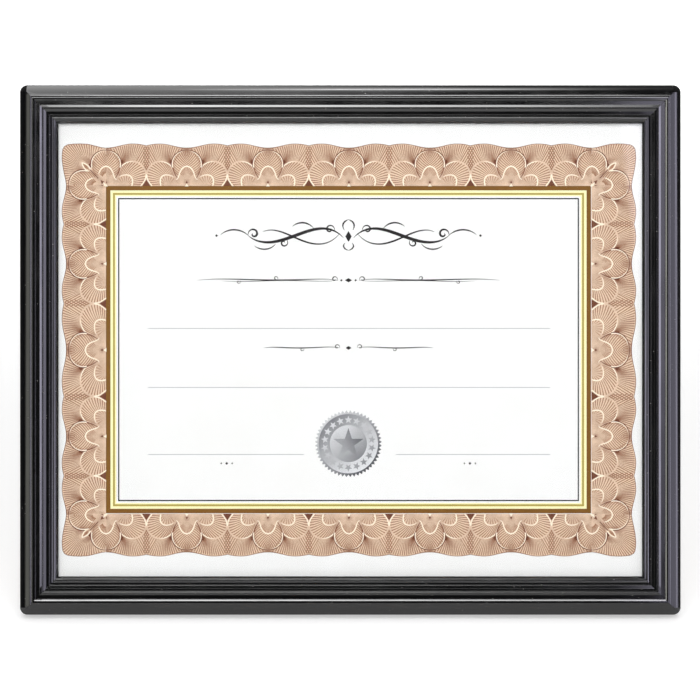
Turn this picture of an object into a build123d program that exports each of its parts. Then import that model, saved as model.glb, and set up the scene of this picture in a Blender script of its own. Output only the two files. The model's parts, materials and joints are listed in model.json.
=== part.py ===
# Landscape certificate frame for one letter-size sheet, standing on its easel leg.
#
# Everything is first drawn upright: X to the right, Y to the rear, Z up, with Y zero in the
# rails' rear plane and Z zero at the frame's bottom edge. The last section leans the whole
# frame back onto its leg and puts the origin at the centre of the footprint.

import os
from math import cos, pi, radians, sin, sqrt

from build123d import *

# The sheet that the frame is made for, and the play it has in the rabbet
sheet_w = 279.4
sheet_h = 215.9
sheet_t = 0.25
sheet_play_side = 0.6
sheet_play_end = 1.5

# The rail's moulding: width over the face, depth, and the lip that covers the sheet's edge
rail_w = 18.0
rail_d = 15.0
lip_w = 2.8
lip_back = 6.2
corner_r = 3.5
mitre_gap = 0.05

# The stack behind the lip
glazing_t = 1.2
filler_t = 1.9
panel_t = 2.5
glazing_play = 0.2
filler_play = 0.3
panel_play = 0.4

# The stance: how far the frame leans back, how far the leg opens, and the hinge's height
lean_deg = 15.0
leg_open_deg = 28.0
hinge_z = 165.0

# One overrun for all cuts
over = 1.0

# Clearances of pieces that are pressed or screwed in, and of pieces that turn
press_gap = 0.02
running_gap = 0.05
turn_gap = 0.10

# Sizes that follow from the sheet and the moulding
rabbet_u = rail_w - lip_w
cavity_w = sheet_w + 2 * sheet_play_side
cavity_h = sheet_h + 2 * sheet_play_end
frame_w = cavity_w + 2 * rabbet_u
frame_h = cavity_h + 2 * rabbet_u
mid_z = frame_h / 2


def slab(outline, front_y, rear_y):
    """A flat piece: an outline drawn in X and Z, thick from front_y to rear_y."""
    return Pos(0, rear_y, 0) * extrude(Plane.XZ * outline, rear_y - front_y)


def bar(outline, left_x, right_x):
    """A length of section: an outline drawn in Y and Z, run along X."""
    return Pos(left_x, 0, 0) * extrude(Plane.YZ * outline, right_x - left_x)


def rod(radius, front_y, rear_y):
    """A round bar along Y."""
    return slab(Circle(radius), front_y, rear_y)


# The moulding's face, from the outer edge inwards: rounded outer member and crest, first step,
# flat, raised edge, second step, cove, third step, bead and sloping lip. Each row is a corner: a
# share of the rail's width and of its depth, and the corner's radius as a share of the width. The
# crest's corner lies over the rail's depth, and its radius brings it down to that depth.
face_shares = [
    (0.000, 0.807, 0.055),
    (0.144, 0.925, 0.390),
    (0.290, 1.009, 0.165),
    (0.389, 0.984, 0.008),
    (0.394, 0.897, 0.007),
    (0.483, 0.897, 0.028),
    (0.553, 0.925, 0.017),
    (0.567, 0.793, 0.028),
    (0.644, 0.763, 0.220),
    (0.769, 0.747, 0.011),
    (0.775, 0.637, 0.008),
    (0.867, 0.679, 0.067),
    (0.939, 0.640, 0.045),
]
sight_edge_share = 0.553
sight_edge_r = 0.3


def moulding(length):
    """The rail's section run along X, with its outer edge at Z zero and its face to the front."""
    corners = [(u * rail_w, h * rail_d, r * rail_w) for u, h, r in face_shares]
    outline = [(0, 0)] + [(u, h) for u, h, r in corners]
    outline += [(rail_w, sight_edge_share * rail_d), (rail_w, lip_back)]
    outline += [(rabbet_u, lip_back), (rabbet_u, 0)]
    radii = [0] + [r for u, h, r in corners] + [sight_edge_r, 0, 0, 0]
    points = [(-h, u) for u, h in outline]
    section = make_face(FilletPolyline(*points, radius=radii, close=True))
    return bar(section, -length / 2, length / 2)


def envelope():
    """The frame's outer form, rounded at its corners."""
    outline = Pos(0, mid_z) * RectangleRounded(frame_w, frame_h, corner_r)
    return slab(outline, -rail_d - over, over)


# Corner V-nails, driven from the rear across each mitre with their apex towards the corner
vnail_leg = 4.5
vnail_t = 0.5
vnail_depth = 7.0
vnail_spread_deg = 35.0
vnail_apex_u = (3.0, 8.4)


def vnail_outline(grow):
    """The nail's V, apex at the origin, opening along +X, each side larger by grow."""
    wing = Pos(vnail_leg / 2, 0) * Rectangle(vnail_leg + 2 * grow, vnail_t + 2 * grow)
    return Rot(Z=vnail_spread_deg) * wing + Rot(Z=-vnail_spread_deg) * wing


def vnail_places():
    """Where each nail's V goes on the rear: X, Z and the turn that points it inwards."""
    places = []
    for side_x in (-1, 1):
        for side_z in (-1, 1):
            turn = {(-1, -1): 45, (1, -1): 135, (1, 1): 225, (-1, 1): 315}[(side_x, side_z)]
            for u in vnail_apex_u:
                place_x = side_x * (frame_w / 2 - u)
                place_z = mid_z + side_z * (frame_h / 2 - u)
                places.append((place_x, place_z, turn))
    return places


def vnails(grow, depth, rear_y):
    """All the nails, or their pockets when grown by the pressing gap."""
    return [
        slab(Pos(x, z) * Rot(Z=turn) * vnail_outline(grow), -depth, rear_y)
        for x, z, turn in vnail_places()
    ]


# Turn buttons and their screws: the screw stands on the rail, the tip reaches over the panel
button_u = 8.0
button_reach = 20.0
button_eye_r = 4.5
button_tip_r = 3.0
button_t = 0.8
button_edge = 0.15
button_in = 60.0
screw_shank_r = 1.45
screw_len = 9.5
screw_point = 2.6
screw_head_r = 2.8
screw_head_h = 2.0
screw_head_round = 1.1
recess_len = 3.2
recess_w = 0.8
recess_depth = 1.2

button_front = turn_gap
button_rear = button_front + button_t
head_front = button_rear + running_gap


def button_places():
    """Screw axis of each turn button, and the turn that points it over the panel."""
    edge_x = frame_w / 2 - button_u
    edge_z = frame_h / 2 - button_u
    along_x = frame_w / 2 - button_in
    along_z = frame_h / 2 - button_in
    return [
        (-along_x, mid_z + edge_z, -90),
        (along_x, mid_z + edge_z, -90),
        (edge_x, mid_z + along_z, 180),
        (edge_x, mid_z - along_z, 180),
        (along_x, mid_z - edge_z, 90),
        (-along_x, mid_z - edge_z, 90),
        (-edge_x, mid_z - along_z, 0),
        (-edge_x, mid_z + along_z, 0),
    ]


def turn_button():
    """A stamped steel button, its eye at the origin and its tip along +X."""
    tip_x = button_reach - button_tip_r
    lean_in = (button_eye_r - button_tip_r) / tip_x
    across = sqrt(1 - lean_in**2)
    web = Polygon(
        (button_eye_r * lean_in, -button_eye_r * across),
        (tip_x + button_tip_r * lean_in, -button_tip_r * across),
        (tip_x + button_tip_r * lean_in, button_tip_r * across),
        (button_eye_r * lean_in, button_eye_r * across),
    )
    outline = Circle(button_eye_r) + Pos(tip_x, 0) * Circle(button_tip_r) + web
    blank = slab(outline, button_front, button_rear)
    rear = blank.faces().sort_by(Axis.Y)[-1]
    blank = chamfer(rear.edges(), button_edge)
    return blank - rod(screw_shank_r + running_gap, button_front - over, button_rear + over)


def button_screw():
    """A pan-head screw with a cross recess, driven forwards into the rail."""
    head = rod(screw_head_r, head_front, head_front + screw_head_h)
    head = fillet(head.faces().sort_by(Axis.Y)[-1].edges(), screw_head_round)
    tip_y = head_front - screw_len
    point = Pos(0, tip_y + screw_point / 2, 0) * Rot(X=90) * Cone(screw_shank_r, 0, screw_point)
    shank = rod(screw_shank_r, tip_y + screw_point, head_front)
    cross = Rectangle(recess_len, recess_w) + Rectangle(recess_w, recess_len)
    top = head_front + screw_head_h
    return head + shank + point - slab(cross, top - recess_depth, top + over)


def pilot_hole():
    """The hole that a button's screw sits in."""
    return rod(screw_shank_r + press_gap, head_front - screw_len - press_gap, over)


# The four rails
def rail(length, outer):
    """A mitred rail along X below the frame's centre, which is the origin here."""
    ease = mitre_gap / sqrt(2)
    long_half = length / 2 + over - ease
    short_half = length / 2 - rail_w - over - ease
    mitre = Polygon(
        (-long_half, -outer - over),
        (long_half, -outer - over),
        (short_half, -outer + rail_w + over),
        (-short_half, -outer + rail_w + over),
    )
    return Pos(0, 0, -outer) * moulding(length + 2 * over) & slab(mitre, -rail_d - over, over)


def rails():
    """All four rails, each with its nail pockets and pilot holes."""
    shell = envelope()
    pockets = vnails(press_gap, vnail_depth + press_gap, over)
    pilots = [Pos(x, 0, z) * pilot_hole() for x, z, turn in button_places()]
    lengths = {
        "bottom_rail": (frame_w, frame_h / 2, 0),
        "right_rail": (frame_h, frame_w / 2, -90),
        "top_rail": (frame_w, frame_h / 2, 180),
        "left_rail": (frame_h, frame_w / 2, 90),
    }
    made = {}
    for name, (length, outer, turn) in lengths.items():
        solid = Pos(0, 0, mid_z) * Rot(Y=turn) * rail(length, outer)
        solid = solid & shell
        for cutter in pockets + pilots:
            solid = solid - cutter
        made[name] = solid
    return made


# The foil seal on the sheet: a serrated disc with a raised ring, a raised disc and a star
seal_x = -0.9
seal_z = -44.2
seal_r = 15.8
seal_teeth = 58
seal_tooth = 0.75
seal_foil_t = 0.12
seal_relief = 0.13
seal_ring_out = 14.4
seal_ring_in = 13.3
seal_disc_r = 9.4
seal_disc_rim = 0.6
star_r = 7.2
star_waist_share = 0.40
star_points = 5


def zigzag(count, tip_r, waist_r):
    """A closed outline of count points round the origin, the first one straight up."""
    corners = []
    for k in range(2 * count):
        radius = waist_r if k % 2 else tip_r
        angle = pi / 2 + pi * k / count
        corners.append((radius * cos(angle), radius * sin(angle)))
    return Polygon(*corners)


# Faces of the stack, counted back from the lip
glazing_front = -lip_back
glazing_rear = glazing_front + glazing_t
seal_gap = seal_foil_t + seal_relief
sheet_front = glazing_rear + seal_gap
sheet_rear = sheet_front + sheet_t
filler_rear = sheet_rear + filler_t
panel_rear = filler_rear + panel_t


def foil_seal():
    """The seal, with its foil on the sheet and its relief just short of the glazing."""
    foil = slab(zigzag(seal_teeth, seal_r, seal_r - seal_tooth), sheet_front - seal_foil_t, sheet_front)
    ring = Circle(seal_ring_out) - Circle(seal_ring_in)
    rim = Circle(seal_disc_r) - Circle(seal_disc_r - seal_disc_rim)
    raised = ring + rim + zigzag(star_points, star_r, star_r * star_waist_share)
    relief = slab(raised, sheet_front - seal_gap, sheet_front - seal_foil_t)
    return Pos(seal_x, 0, mid_z + seal_z) * (foil + relief)


def filling(width, height, front_y, rear_y):
    """A plain sheet centred in the frame."""
    return slab(Pos(0, mid_z) * Rectangle(width, height), front_y, rear_y)


panel_w = cavity_w - 2 * panel_play
panel_h = cavity_h - 2 * panel_play

# Rivets, alike in the hangers, the panel's hinge leaf and the leg's hinge leaf
rivet_r = 1.5
rivet_head_r = 3.0
rivet_head_h = 1.1
rivet_head_round = 0.9


def rivet(front_y, seat_y):
    """A rivet with its domed head behind seat_y and its tail flush at front_y."""
    head = rod(rivet_head_r, seat_y, seat_y + rivet_head_h)
    head = fillet(head.faces().sort_by(Axis.Y)[-1].edges(), rivet_head_round)
    return head + rod(rivet_r, front_y, seat_y)


def rivet_hole(front_y, rear_y):
    """The hole for a rivet, right through a sheet."""
    return rod(rivet_r + press_gap, front_y - over, rear_y + over)


# Sawtooth hangers: a strip raised off the panel between its riveted ends, toothed along the
# edge that faces the frame's centre
hanger_len = 45.0
hanger_w = 9.5
hanger_t = 0.8
hanger_gap = 1.6
hanger_foot = 8.0
hanger_ramp = 2.4
hanger_corner_r = 2.0
hanger_edge_gap = 4.0
hanger_rivet_in = 4.2
tooth_pitch = 2.3
tooth_depth = 1.5
tooth_count = 9


def hanger():
    """A hanger centred on the origin, its teeth facing down."""
    half = hanger_len / 2
    foot_x = half - hanger_foot
    raised_x = foot_x - hanger_ramp
    under = [(-half, 0), (-foot_x, 0), (-raised_x, hanger_gap)]
    under += [(-x, y) for x, y in reversed(under)]
    upper = [(x, y + hanger_t) for x, y in reversed(under)]
    strip = extrude(Polygon(*under, *upper), hanger_w / 2, both=True)
    trim = slab(RectangleRounded(hanger_len, hanger_w, hanger_corner_r), -over, hanger_gap + hanger_t + over)
    strip = strip & trim
    notch = Polygon((-tooth_pitch / 2, -over), (tooth_pitch / 2, -over), (0, tooth_depth))
    for k in range(tooth_count):
        x = (k - (tooth_count - 1) / 2) * tooth_pitch
        cut = slab(Pos(x, -hanger_w / 2) * notch, -over, hanger_gap + hanger_t + over)
        strip = strip - cut
    for side in (-1, 1):
        strip = strip - Pos(side * (half - hanger_rivet_in), 0, 0) * rivet_hole(0, hanger_t)
    return strip


hanger_out = {
    "landscape_hanger": panel_h / 2 - hanger_edge_gap - hanger_w / 2,
    "portrait_hanger": panel_w / 2 - hanger_edge_gap - hanger_w / 2,
}
hanger_turn_deg = {"landscape_hanger": 0, "portrait_hanger": -90}


def place_hanger(piece, name):
    """Puts a piece drawn at a hanger's centre on the panel, turned about the frame's centre."""
    about_centre = Pos(0, panel_rear, mid_z) * Rot(Y=hanger_turn_deg[name])
    return about_centre * Pos(0, 0, hanger_out[name]) * piece


# The hinge: a pin in rolled knuckles, one leaf on the panel, one on the leg's rear face
pin_r = 1.0
leaf_t = 0.8
knuckle_r = pin_r + running_gap + leaf_t
axis_off = knuckle_r + turn_gap
knuckle_split = 7.5
leaf_half = 15.0
knuckle_gap = 0.1
leaf_notch_gap = 0.4
fixed_leaf_len = 16.0
moving_leaf_len = 22.0
leaf_corner_r = 3.0
heel_in = 16.2
moving_leaf_half = 20.0
pin_head_r = 1.5
pin_head_t = 0.5
hinge_rivet_x = 9.0
fixed_rivet_in = 6.0
moving_rivet_in = 7.0

# The leg: a hardboard strut that widens to its foot
leg_t = 2.5
leg_top_w = 46.0
leg_foot_w = 84.0
leg_top_gap = 0.65
leg_corner_r = 6.0

axis_y = panel_rear + axis_off
leaf_front = knuckle_r - leaf_t
leg_front = leaf_front - leg_t
leg_top = -(knuckle_r + leg_top_gap)
stance_deg = leg_open_deg - lean_deg
axis_height = hinge_z * cos(radians(lean_deg)) - axis_y * sin(radians(lean_deg))
leg_reach = axis_height / cos(radians(stance_deg))


def knuckle(left_x, right_x, bore_r):
    """A rolled knuckle round the hinge's axis, which is the origin here."""
    return bar(Circle(knuckle_r) - Circle(bore_r), left_x, right_x)


def fixed_leaf():
    """The leaf on the panel, with the two outer knuckles."""
    notch_top = knuckle_r + leaf_notch_gap
    plate = Rectangle(2 * leaf_half, fixed_leaf_len, align=(Align.CENTER, Align.MIN))
    plate = fillet(plate.vertices().group_by(Axis.Y)[-1], leaf_corner_r)
    plate = plate - Rectangle(2 * (knuckle_split + knuckle_gap), 2 * notch_top)
    leaf = slab(plate, -axis_off, -axis_off + leaf_t)
    for side in (-1, 1):
        ends = sorted((side * (knuckle_split + knuckle_gap), side * leaf_half))
        leaf = leaf - bar(Circle(pin_r + press_gap), ends[0], ends[1])
        leaf = leaf + knuckle(ends[0], ends[1], pin_r + press_gap)
        hole = Pos(side * hinge_rivet_x, 0, fixed_leaf_len - fixed_rivet_in)
        leaf = leaf - hole * rivet_hole(-axis_off, -axis_off + leaf_t)
    return leaf


def heel_stop():
    """What the opened leg's heels would reach past: the panel, seen in the leg's own frame."""
    panel_side = Rectangle(4 * axis_off, 8 * axis_off, align=(Align.MAX, Align.CENTER))
    face = Rot(X=-leg_open_deg) * Pos(0, -axis_off + press_gap, 0)
    return face * bar(panel_side, -leg_foot_w, leg_foot_w)


def moving_leaf():
    """The leaf on the leg, with the middle knuckle and a heel tab at each side."""
    notch_z = knuckle_r + leaf_notch_gap
    plate = Rectangle(2 * moving_leaf_half, moving_leaf_len, align=(Align.CENTER, Align.MAX))
    plate = fillet(plate.vertices().group_by(Axis.Y)[0], leaf_corner_r)
    clear = Rectangle(2 * heel_in, 2 * notch_z)
    tongue = Rectangle(2 * knuckle_split, notch_z, align=(Align.CENTER, Align.MAX))
    heel_w = moving_leaf_half - heel_in
    heel = Rectangle(heel_w, 8 * axis_off, align=(Align.MIN, Align.CENTER))
    outline = plate - clear + tongue + Pos(heel_in, 0) * heel
    outline = outline + Pos(-moving_leaf_half, 0) * heel
    leaf = slab(outline, leaf_front, knuckle_r) - heel_stop()
    leaf = leaf - bar(Circle(pin_r + running_gap), -leaf_half, leaf_half)
    leaf = leaf + knuckle(-knuckle_split, knuckle_split, pin_r + running_gap)
    for side in (-1, 1):
        hole = Pos(side * hinge_rivet_x, 0, -moving_leaf_len + moving_rivet_in)
        leaf = leaf - hole * rivet_hole(leaf_front, knuckle_r)
    return leaf


def hinge_pin():
    """The pin, peened over at both ends outside the outer knuckles."""
    head_x = leaf_half + running_gap
    pin = bar(Circle(pin_r), -head_x, head_x)
    pin = pin + bar(Circle(pin_head_r), head_x, head_x + pin_head_t)
    return pin + bar(Circle(pin_head_r), -head_x - pin_head_t, -head_x)


def easel_leg():
    """The strut, hung from the hinge's axis at the origin, its foot cut level with the floor."""
    outline = Polygon(
        (-leg_top_w / 2, leg_top),
        (-leg_foot_w / 2, -leg_reach - leg_t),
        (leg_foot_w / 2, -leg_reach - leg_t),
        (leg_top_w / 2, leg_top),
    )
    outline = fillet(outline.vertices().group_by(Axis.Y)[-1], leg_corner_r)
    strut = slab(outline, leg_front, leaf_front)
    below = Rectangle(leg_foot_w, leg_foot_w, align=(Align.CENTER, Align.MAX))
    floor = Rot(X=-stance_deg) * Pos(0, 0, -axis_height) * bar(below, -leg_foot_w, leg_foot_w)
    strut = strut - floor
    for side in (-1, 1):
        hole = Pos(side * hinge_rivet_x, 0, -moving_leaf_len + moving_rivet_in)
        strut = strut - hole * rivet_hole(leg_front, leaf_front)
    return strut


def on_panel(piece):
    """Puts a piece drawn round the hinge's axis on the panel."""
    return Pos(0, axis_y, hinge_z) * piece


def on_leg(piece):
    """Puts a piece drawn in the leg's own frame where the opened leg is."""
    return Pos(0, axis_y, hinge_z) * Rot(X=leg_open_deg) * piece


# The pieces, each under its own name, still upright
pieces = rails()
pieces["clear_face"] = filling(
    cavity_w - 2 * glazing_play, cavity_h - 2 * glazing_play, glazing_front, glazing_rear
)
pieces["foil_seal"] = foil_seal()
pieces["certificate"] = filling(sheet_w, sheet_h, sheet_front, sheet_rear)
pieces["filler_card"] = filling(
    cavity_w - 2 * filler_play, cavity_h - 2 * filler_play, sheet_rear, filler_rear
)

panel_rivet_spots = [
    Pos(side * hinge_rivet_x, 0, hinge_z + fixed_leaf_len - fixed_rivet_in) for side in (-1, 1)
]
leg_rivet_spots = [
    Pos(side * hinge_rivet_x, 0, -moving_leaf_len + moving_rivet_in) for side in (-1, 1)
]
hanger_rivet_spots = [
    Pos(side * (hanger_len / 2 - hanger_rivet_in), 0, 0) for side in (-1, 1)
]

back_panel = filling(panel_w, panel_h, filler_rear, panel_rear)
for spot in panel_rivet_spots:
    back_panel = back_panel - spot * rivet_hole(filler_rear, panel_rear)
for name in hanger_out:
    for spot in hanger_rivet_spots:
        back_panel = back_panel - place_hanger(spot * rivet_hole(-panel_t, 0), name)
pieces["back_panel"] = back_panel

pieces["corner_vnails"] = Compound(children=vnails(0, vnail_depth, 0))
for number, (x, z, turn) in enumerate(button_places(), 1):
    pieces[f"turn_button_{number}"] = Pos(x, 0, z) * Rot(Y=-turn) * turn_button()
pieces["button_screws"] = Compound(
    children=[Pos(x, 0, z) * button_screw() for x, z, turn in button_places()]
)

for name in hanger_out:
    pieces[name] = place_hanger(hanger(), name)
pieces["hanger_rivets"] = Compound(
    children=[
        place_hanger(spot * rivet(-panel_t, hanger_t), name)
        for name in hanger_out
        for spot in hanger_rivet_spots
    ]
)

pieces["hinge_fixed_leaf"] = on_panel(fixed_leaf())
pieces["hinge_pin"] = on_panel(hinge_pin())
pieces["hinge_panel_rivets"] = Compound(
    children=[spot * rivet(filler_rear, panel_rear + leaf_t) for spot in panel_rivet_spots]
)
pieces["hinge_moving_leaf"] = on_leg(moving_leaf())
pieces["easel_leg"] = on_leg(easel_leg())
pieces["hinge_leg_rivets"] = Compound(
    children=[on_leg(spot * rivet(leg_front, knuckle_r)) for spot in leg_rivet_spots]
)

# The stance: lean back about the rear bottom edge, then centre the footprint on the origin
leaned = {name: Rot(X=-lean_deg) * piece for name, piece in pieces.items()}
box = Compound(children=[Compound(children=piece.solids()) for piece in leaned.values()]).bounding_box()
shift_y = -(box.min.Y + box.max.Y) / 2
shift_z = -box.min.Z

os.makedirs("parts", exist_ok=True)
for name, piece in leaned.items():
    placed = Compound(children=[Pos(0, shift_y, shift_z) * solid for solid in piece.solids()])
    placed.label = name
    export_step(placed, f"parts/{name}.step")
print(f"frame {frame_w:.1f} x {frame_h:.1f} mm, leg {leg_reach:.1f} mm, shift {shift_y:.3f} {shift_z:.4f}")
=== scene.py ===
import json
from math import atan2, cos, exp, hypot, pi, radians, sin, sqrt, tan

import bmesh
import bpy
from mathutils import Matrix, Vector


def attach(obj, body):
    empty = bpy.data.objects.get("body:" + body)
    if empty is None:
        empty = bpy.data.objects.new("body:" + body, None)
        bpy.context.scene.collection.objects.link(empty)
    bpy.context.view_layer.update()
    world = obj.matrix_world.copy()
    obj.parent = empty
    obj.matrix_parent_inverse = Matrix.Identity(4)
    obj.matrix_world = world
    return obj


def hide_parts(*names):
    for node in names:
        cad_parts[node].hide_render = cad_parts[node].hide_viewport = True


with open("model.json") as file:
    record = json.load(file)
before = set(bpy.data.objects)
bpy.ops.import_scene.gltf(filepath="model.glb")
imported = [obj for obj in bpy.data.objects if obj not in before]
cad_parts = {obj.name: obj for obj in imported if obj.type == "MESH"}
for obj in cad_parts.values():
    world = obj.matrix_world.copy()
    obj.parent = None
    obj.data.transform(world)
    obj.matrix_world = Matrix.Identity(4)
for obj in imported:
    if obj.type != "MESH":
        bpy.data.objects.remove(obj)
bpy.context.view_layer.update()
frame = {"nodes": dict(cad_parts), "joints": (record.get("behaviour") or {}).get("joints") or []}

# The moulding. Four lengths of black polystyrene moulding, glossy from the die, are sawn at 45
# degrees and pinned at the corners. The outer corners are eased round after joining.
mm = 0.001
rail_w = 18.0 * mm
rail_d = 15.0 * mm
lip_w = 2.8 * mm
lip_back = 6.2 * mm
corner_r = 3.5 * mm
mitre_edge = 0.06 * mm
nail_proud = 0.03 * mm
sight_edge_share = 0.553
small_edge_share = 0.016
arc_step = radians(7)
least_turn = radians(0.5)
sharp_turn = radians(25)
corner_steps = 8
length_steps = 24

# The corners of the face from the outer edge in: how far in and how high as shares of the rail's
# width and depth, and the radius of the rounding as a share of its width.
face_shares = [
    (0.000, 0.794, 0.045),
    (0.083, 0.867, 0.720),
    (0.167, 0.925, 1.100),
    (0.312, 1.009, 0.165),
    (0.408, 0.984, 0.008),
    (0.413, 0.897, 0.007),
    (0.520, 0.897, 0.028),
    (0.592, 0.925, 0.017),
    (0.606, 0.793, 0.028),
    (0.684, 0.761, 0.020),
    (0.769, 0.747, 0.011),
    (0.775, 0.637, 0.008),
    (0.867, 0.679, 0.067),
    (0.939, 0.640, 0.045),
]

# Every piece is drawn upright, X to the right, Y to the rear and Z up the face, and is then leaned
# back as the frame stands. The turn buttons' axis is square to the back, so it tells the lean.
button_axis = next(j["axis"] for j in frame["joints"] if j["name"] == "button_1_turn")
lean_angle = atan2(-button_axis[2], button_axis[1])
lean = Matrix.Rotation(-lean_angle, 4, "X")


def upright_box(node):
    """A CAD node's lowest and highest corners, measured upright."""
    points = [lean.inverted() @ v.co for v in frame["nodes"][node].data.vertices]
    return [Vector([pick(p[k] for p in points) for k in range(3)]) for pick in (min, max)]


rear_y = upright_box("bottom_rail")[1].y
bottom_z = upright_box("bottom_rail")[0].z
top_z = upright_box("top_rail")[1].z
half_w = upright_box("right_rail")[1].x
mid_z = (bottom_z + top_z) / 2
half_h = (top_z - bottom_z) / 2


def piece(name, points, faces, material, smooth=False):
    """A mesh drawn upright, leaned back, finished and riding on the frame."""
    mesh = bpy.data.meshes.new(name)
    mesh.from_pydata(points, [], faces)
    mesh.transform(lean)
    mesh.materials.append(material)
    if smooth:
        mesh.shade_smooth()
    made = bpy.data.objects.new(name, mesh)
    bpy.context.scene.collection.objects.link(made)
    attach(made, "frame")
    return made


def rounded(corners):
    """A closed outline with each corner (u, h, radius) turned into an arc of short steps."""
    outline = []
    for k, (u, h, radius) in enumerate(corners):
        here = Vector((u, h))
        before = (Vector(corners[k - 1][:2]) - here).normalized()
        after = (Vector(corners[(k + 1) % len(corners)][:2]) - here).normalized()
        half_turn = (pi - before.angle(after)) / 2
        if radius == 0 or half_turn < least_turn:
            outline.append(here)
            continue
        centre = here + (before + after).normalized() * radius / cos(half_turn)
        start = here + before * radius * tan(half_turn) - centre
        side = 1 if before.x * after.y - before.y * after.x < 0 else -1
        count = max(2, round(2 * half_turn / arc_step))
        for i in range(count + 1):
            turn = side * 2 * half_turn * i / count
            outline.append(centre + Matrix.Rotation(turn, 2) @ start)
    return outline


def moulding_outline():
    """The rail's section: depth in from the outer edge, and height off its rear plane."""
    small = small_edge_share * rail_w
    rabbet_u = rail_w - lip_w
    corners = [(0, nail_proud, small)]
    corners += [(u * rail_w, h * rail_d, r * rail_w) for u, h, r in face_shares]
    corners += [(rail_w, sight_edge_share * rail_d, small), (rail_w, lip_back, small / 2)]
    corners += [(rabbet_u, lip_back, 0), (rabbet_u, nail_proud, small)]
    return rounded(corners)


def eased_end(section):
    """The section drawn in by the fine bevel that a sawn and pinned end shows."""
    drawn = []
    for k, here in enumerate(section):
        run = (section[(k + 1) % len(section)] - section[k - 1]).normalized()
        drawn.append(here + Vector((run.y, -run.x)) * mitre_edge)
    return drawn


def rail_path(u, half, outer, short=0.0):
    """Where a line at depth u runs, from mitre to mitre: round the eased corners, straight between."""
    line = []
    inner_r = max(corner_r - u, 0)
    bend = corner_r if inner_r else u
    for i in range(corner_steps + 1):
        angle = radians(45) * (1 + i / corner_steps)
        if inner_r:
            along = -half + bend - inner_r * cos(angle)
            across = outer - bend + inner_r * sin(angle)
        else:
            along = -half + u + corner_r * i / corner_steps
            across = outer - u
        line.append((along + short * (i == 0), across))
    start = line[-1][0]
    line += [(start * (1 - 2 * i / length_steps), outer - u) for i in range(1, length_steps)]
    return line + [(-a, b) for a, b in reversed(line[:corner_steps + 1])]


def rail_mesh(half, outer, turn):
    """Points and faces of a rail drawn below the centre and turned about it."""
    section = moulding_outline()
    spin = Matrix.Rotation(turn, 2)
    points = []
    for full, drawn in zip(section, eased_end(section)):
        tip, across = rail_path(drawn.x, half, outer)[0]
        row = [(a, b, full.y) for a, b in rail_path(full.x, half, outer, mitre_edge)]
        for along, across, height in [(tip, across, drawn.y), *row, (-tip, across, drawn.y)]:
            x, z = spin @ Vector((along, -across))
            points.append((x, rear_y - height, mid_z + z))
    count = len(section)
    length = len(points) // count
    faces = []
    for k in range(count):
        for i in range(length - 1):
            a, b = k * length + i, (k + 1) % count * length + i
            faces.append((a, b, b + 1, a + 1))
    faces.append([k * length for k in reversed(range(count))])
    faces.append([k * length + length - 1 for k in range(count)])
    return points, faces


def add(tree, kind, inputs=None, **settings):
    """Adds a shader node with its settings, and fills its inputs with values or links."""
    made = tree.nodes.new(kind)
    for name, value in settings.items():
        setattr(made, name, value)
    for name, value in (inputs or {}).items():
        if isinstance(value, bpy.types.NodeSocket):
            tree.links.new(value, made.inputs[name])
        else:
            made.inputs[name].default_value = value
    return made


def maths(tree, operation, a, b=0.0, clamp=False):
    """One step of arithmetic on two values or links."""
    return add(tree, "ShaderNodeMath", {0: a, 1: b}, operation=operation, use_clamp=clamp).outputs[0]


def plus(tree, a, b, clamp=False):
    """The sum of two values or links."""
    return maths(tree, "ADD", a, b, clamp)


def times(tree, a, b):
    """The product of two values or links."""
    return maths(tree, "MULTIPLY", a, b)


def ramp(tree, value, low, high, to_low=0.0, to_high=1.0):
    """Maps value from low..high to to_low..to_high, held at both ends."""
    inputs = {"Value": value, "From Min": low, "From Max": high, "To Min": to_low, "To Max": to_high}
    return add(tree, "ShaderNodeMapRange", inputs).outputs[0]


def mixed(tree, share, first, second):
    """A colour between two colours or links."""
    return add(tree, "ShaderNodeMix", {0: share, 6: first, 7: second}, data_type="RGBA").outputs[2]


def on_piece(tree):
    """The place on the piece, which moves with it."""
    return add(tree, "ShaderNodeTexCoord").outputs["Object"]


def stretched(tree, where, stretch):
    """The place pulled out, so that a pattern on it runs long."""
    return add(tree, "ShaderNodeVectorMath", {0: where, 1: stretch}, operation="MULTIPLY").outputs[0]


def noise(tree, where, scale, detail):
    """A cloudy pattern from 0 to 1."""
    return add(tree, "ShaderNodeTexNoise", {"Vector": where, "Scale": scale, "Detail": detail}).outputs["Fac"]


def bumped(tree, height, strength, depth):
    """The surface's normal, tilted by a height; depth is what a height of 1 stands for."""
    return add(tree, "ShaderNodeBump", {"Height": height, "Strength": strength, "Distance": depth}).outputs[0]


def colour(red, green, blue):
    """A colour as a printer or painter would read it, 0 to 255, in the renderer's linear values."""
    shares = [v / 255 for v in (red, green, blue)]
    return [v / 12.92 if v <= 0.04045 else ((v + 0.055) / 1.055) ** 2.4 for v in shares] + [1]


def new_group(name, inputs, outputs):
    """An empty node group with named sockets; gives what goes in and where the results go out."""
    tree = bpy.data.node_groups.new(name, "ShaderNodeTree")
    for socket_name, kind, value in inputs:
        socket = tree.interface.new_socket(socket_name, in_out="INPUT", socket_type=kind)
        socket.default_value = value
    for socket_name in outputs:
        tree.interface.new_socket(socket_name, in_out="OUTPUT", socket_type="NodeSocketFloat")
    return tree, tree.nodes.new("NodeGroupInput").outputs, tree.nodes.new("NodeGroupOutput").inputs


def placed(tree, group, **values):
    """What a group gives when it is put into a material with its own values."""
    made = add(tree, "ShaderNodeGroup", node_tree=group)
    for name, value in values.items():
        made.inputs[name].default_value = value
    return made.outputs


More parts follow.
